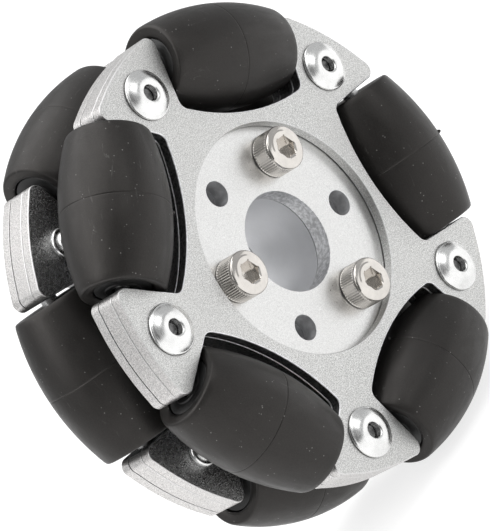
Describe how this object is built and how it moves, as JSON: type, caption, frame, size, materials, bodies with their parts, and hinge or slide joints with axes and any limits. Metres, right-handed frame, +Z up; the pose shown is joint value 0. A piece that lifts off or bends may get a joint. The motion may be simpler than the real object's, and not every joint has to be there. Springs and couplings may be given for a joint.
{
  "type": "omni wheel",
  "caption": "Double-row omni wheel for small robots: riveted aluminium star plates on a bored hub carry free-turning rubber barrel rollers set along the rim.",
  "frame": {"origin": "centre of the wheel, on the spin axis midway between the two rows", "axes": "+Y along the spin axis from the front row (screw heads) to the rear row (hub seat); +Z up, through a front arm and a rear roller"},
  "size_m": [0.06, 0.0252, 0.06],
  "materials": {
    "plate": "fine sandblasted, satin",
    "spacer": "smooth turned",
    "rivet": "bright drawn",
    "screw": "nickel plated, bright",
    "axle": "ground",
    "rubber": "matte moulded",
    "roller_core": "moulded nylon"
  },
  "bodies": {
    "wheel": {"front_row_outer_plate": "plate", "front_row_core_plate": "plate", "front_row_inner_plate": "plate", "rear_row_inner_plate": "plate", "rear_row_core_plate": "plate", "rear_row_outer_plate": "plate", "hub_spacer": "spacer", "hub_screw_1": "screw", "hub_screw_2": "screw", "hub_screw_3": "screw", "front_rivet_1": "rivet", "front_rivet_2": "rivet", "front_rivet_3": "rivet", "front_rivet_4": "rivet", "front_rivet_5": "rivet", "rear_rivet_1": "rivet", "rear_rivet_2": "rivet", "rear_rivet_3": "rivet", "rear_rivet_4": "rivet", "rear_rivet_5": "rivet", "front_axle_pin_1": "axle", "front_axle_pin_2": "axle", "front_axle_pin_3": "axle", "front_axle_pin_4": "axle", "front_axle_pin_5": "axle", "rear_axle_pin_1": "axle", "rear_axle_pin_2": "axle", "rear_axle_pin_3": "axle", "rear_axle_pin_4": "axle", "rear_axle_pin_5": "axle"},
    "front_roller_1": {"front_roller_tyre_1": "rubber", "front_roller_core_1": "roller_core"},
    "front_roller_2": {"front_roller_tyre_2": "rubber", "front_roller_core_2": "roller_core"},
    "front_roller_3": {"front_roller_tyre_3": "rubber", "front_roller_core_3": "roller_core"},
    "front_roller_4": {"front_roller_tyre_4": "rubber", "front_roller_core_4": "roller_core"},
    "front_roller_5": {"front_roller_tyre_5": "rubber", "front_roller_core_5": "roller_core"},
    "rear_roller_1": {"rear_roller_tyre_1": "rubber", "rear_roller_core_1": "roller_core"},
    "rear_roller_2": {"rear_roller_tyre_2": "rubber", "rear_roller_core_2": "roller_core"},
    "rear_roller_3": {"rear_roller_tyre_3": "rubber", "rear_roller_core_3": "roller_core"},
    "rear_roller_4": {"rear_roller_tyre_4": "rubber", "rear_roller_core_4": "roller_core"},
    "rear_roller_5": {"rear_roller_tyre_5": "rubber", "rear_roller_core_5": "roller_core"}
  },
  "joints": [
    {"name": "front_roller_1_spin", "type": "hinge", "parent": "wheel", "child": "front_roller_1", "pos_m": [0.01387, -0.00619, 0.01909], "axis": [-0.809, 0, 0.5878], "continuous": true},
    {"name": "front_roller_2_spin", "type": "hinge", "parent": "wheel", "child": "front_roller_2", "pos_m": [0.02244, -0.00619, -0.00729], "axis": [0.309, 0, 0.9511], "continuous": true},
    {"name": "front_roller_3_spin", "type": "hinge", "parent": "wheel", "child": "front_roller_3", "pos_m": [0, -0.00619, -0.0236], "axis": [1, 0, 0], "continuous": true},
    {"name": "front_roller_4_spin", "type": "hinge", "parent": "wheel", "child": "front_roller_4", "pos_m": [-0.02244, -0.00619, -0.00729], "axis": [0.309, 0, -0.9511], "continuous": true},
    {"name": "front_roller_5_spin", "type": "hinge", "parent": "wheel", "child": "front_roller_5", "pos_m": [-0.01387, -0.00619, 0.01909], "axis": [-0.809, 0, -0.5878], "continuous": true},
    {"name": "rear_roller_1_spin", "type": "hinge", "parent": "wheel", "child": "rear_roller_1", "pos_m": [0.02244, 0.00619, 0.00729], "axis": [-0.309, 0, 0.9511], "continuous": true},
    {"name": "rear_roller_2_spin", "type": "hinge", "parent": "wheel", "child": "rear_roller_2", "pos_m": [0.01387, 0.00619, -0.01909], "axis": [0.809, 0, 0.5878], "continuous": true},
    {"name": "rear_roller_3_spin", "type": "hinge", "parent": "wheel", "child": "rear_roller_3", "pos_m": [-0.01387, 0.00619, -0.01909], "axis": [0.809, 0, -0.5878], "continuous": true},
    {"name": "rear_roller_4_spin", "type": "hinge", "parent": "wheel", "child": "rear_roller_4", "pos_m": [-0.02244, 0.00619, 0.00729], "axis": [-0.309, 0, -0.9511], "continuous": true},
    {"name": "rear_roller_5_spin", "type": "hinge", "parent": "wheel", "child": "rear_roller_5", "pos_m": [0, 0.00619, 0.0236], "axis": [-1, 0, 0], "continuous": true}
  ]
}
